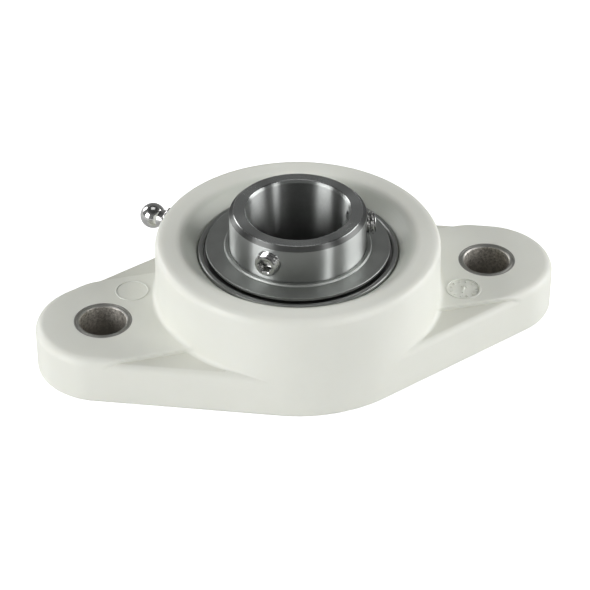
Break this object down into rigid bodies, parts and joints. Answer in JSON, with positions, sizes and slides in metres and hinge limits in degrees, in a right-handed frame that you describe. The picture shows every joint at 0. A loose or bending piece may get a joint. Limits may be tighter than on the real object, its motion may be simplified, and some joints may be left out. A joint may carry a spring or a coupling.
{
  "type": "flange mount bearing",
  "caption": "Two-bolt oval flange housing in white plastic with a self-aligning insert ball bearing, set screws, steel bolt bushes and a grease nipple.",
  "frame": {"origin": "centre of the mounting face, on the shaft axis at rest", "axes": "+X along the line through the two bolts, towards the lug with the sunk mould mark; +Z along the shaft, away from the mounting face, on the side of the extended inner ring; +Y completes the right-handed frame, and the grease nipple points to -X +Y"},
  "size_m": [0.1322, 0.0708, 0.0368],
  "materials": {
    "housing_plastic": "white moulded thermoplastic polyester, fine satin",
    "bush_steel": "turned steel, dull",
    "nipple_steel": "turned stainless steel, bright",
    "ring_steel": "ground stainless steel",
    "inner_ring_steel": "fine ground stainless steel",
    "seal_steel": "pressed stainless sheet, satin",
    "seal_rubber": "black nitrile rubber",
    "flinger_steel": "pressed stainless sheet, fine sandblast",
    "cage_steel": "pressed stainless strip",
    "ball_steel": "polished stainless steel",
    "screw_steel": "rolled stainless thread, bright",
    "spring_steel": "drawn stainless wire"
  },
  "bodies": {
    "housing": {"housing": "housing_plastic", "bolt_bush_left": "bush_steel", "bolt_bush_right": "bush_steel", "grease_nipple_body": "nipple_steel", "nipple_spring": "spring_steel"},
    "nipple_ball": {"nipple_ball": "ball_steel"},
    "locating_pin": {"locating_pin": "ring_steel"},
    "outer_ring": {"outer_ring": "ring_steel", "seal_shield_front": "seal_steel", "seal_lip_front": "seal_rubber", "seal_shield_back": "seal_steel", "seal_lip_back": "seal_rubber"},
    "inner_ring": {"inner_ring": "inner_ring_steel", "flinger_front": "flinger_steel", "flinger_back": "flinger_steel"},
    "cage": {"cage_front_half": "cage_steel", "cage_back_half": "cage_steel", "cage_rivets": "cage_steel"},
    "ball_1": {"ball_1": "ball_steel"},
    "ball_2": {"ball_2": "ball_steel"},
    "ball_3": {"ball_3": "ball_steel"},
    "ball_4": {"ball_4": "ball_steel"},
    "ball_5": {"ball_5": "ball_steel"},
    "ball_6": {"ball_6": "ball_steel"},
    "ball_7": {"ball_7": "ball_steel"},
    "ball_8": {"ball_8": "ball_steel"},
    "ball_9": {"ball_9": "ball_steel"},
    "set_screw_left": {"set_screw_left": "screw_steel"},
    "set_screw_right": {"set_screw_right": "screw_steel"}
  },
  "joints": [
    {"name": "align_about_y", "type": "hinge", "parent": "housing", "child": "locating_pin", "pos_m": [0, 0, 0.017], "axis": [0, 1, 0], "range_deg": [-3, 3]},
    {"name": "align_about_x", "type": "hinge", "parent": "locating_pin", "child": "outer_ring", "pos_m": [0, 0, 0.017], "axis": [1, 0, 0], "range_deg": [-3, 3]},
    {"name": "shaft_spin", "type": "hinge", "parent": "outer_ring", "child": "inner_ring", "pos_m": [0, 0, 0.017], "axis": [0, 0, 1], "continuous": true},
    {"name": "cage_spin", "type": "hinge", "parent": "outer_ring", "child": "cage", "pos_m": [0, 0, 0.017], "axis": [0, 0, 1], "continuous": true},
    {"name": "ball_1_spin", "type": "hinge", "parent": "cage", "child": "ball_1", "pos_m": [0.0195, 0, 0.017], "axis": [0, 0, 1], "continuous": true},
    {"name": "ball_2_spin", "type": "hinge", "parent": "cage", "child": "ball_2", "pos_m": [0.01494, 0.01253, 0.017], "axis": [0, 0, 1], "continuous": true},
    {"name": "ball_3_spin", "type": "hinge", "parent": "cage", "child": "ball_3", "pos_m": [0.00339, 0.0192, 0.017], "axis": [0, 0, 1], "continuous": true},
    {"name": "ball_4_spin", "type": "hinge", "parent": "cage", "child": "ball_4", "pos_m": [-0.00975, 0.01689, 0.017], "axis": [0, 0, 1], "continuous": true},
    {"name": "ball_5_spin", "type": "hinge", "parent": "cage", "child": "ball_5", "pos_m": [-0.01832, 0.00667, 0.017], "axis": [0, 0, 1], "continuous": true},
    {"name": "ball_6_spin", "type": "hinge", "parent": "cage", "child": "ball_6", "pos_m": [-0.01832, -0.00667, 0.017], "axis": [0, 0, 1], "continuous": true},
    {"name": "ball_7_spin", "type": "hinge", "parent": "cage", "child": "ball_7", "pos_m": [-0.00975, -0.01689, 0.017], "axis": [0, 0, 1], "continuous": true},
    {"name": "ball_8_spin", "type": "hinge", "parent": "cage", "child": "ball_8", "pos_m": [0.00339, -0.0192, 0.017], "axis": [0, 0, 1], "continuous": true},
    {"name": "ball_9_spin", "type": "hinge", "parent": "cage", "child": "ball_9", "pos_m": [0.01494, -0.01253, 0.017], "axis": [0, 0, 1], "continuous": true},
    {"name": "set_screw_left_travel", "type": "slide", "parent": "inner_ring", "child": "set_screw_left", "axis": [0.6428, 0.766, 0], "range_m": [-0.001, 0.0009]},
    {"name": "set_screw_right_travel", "type": "slide", "parent": "inner_ring", "child": "set_screw_right", "axis": [-0.9848, 0.1736, 0], "range_m": [-0.001, 0.0009]},
    {"name": "nipple_ball_press", "type": "slide", "parent": "housing", "child": "nipple_ball", "axis": [0.7071, -0.7071, 0], "range_m": [0, 0.0008], "stiffness_N_per_m": 300, "springref_m": -0.001, "deforming": ["nipple_spring"]}
  ],
  "couplings": [
    {"joint": "cage_spin", "follows": "shaft_spin", "ratio": 0.39823},
    {"joint": "ball_1_spin", "follows": "shaft_spin", "ratio": -2.3548},
    {"joint": "ball_2_spin", "follows": "shaft_spin", "ratio": -2.3548},
    {"joint": "ball_3_spin", "follows": "shaft_spin", "ratio": -2.3548},
    {"joint": "ball_4_spin", "follows": "shaft_spin", "ratio": -2.3548},
    {"joint": "ball_5_spin", "follows": "shaft_spin", "ratio": -2.3548},
    {"joint": "ball_6_spin", "follows": "shaft_spin", "ratio": -2.3548},
    {"joint": "ball_7_spin", "follows": "shaft_spin", "ratio": -2.3548},
    {"joint": "ball_8_spin", "follows": "shaft_spin", "ratio": -2.3548},
    {"joint": "ball_9_spin", "follows": "shaft_spin", "ratio": -2.3548}
  ]
}
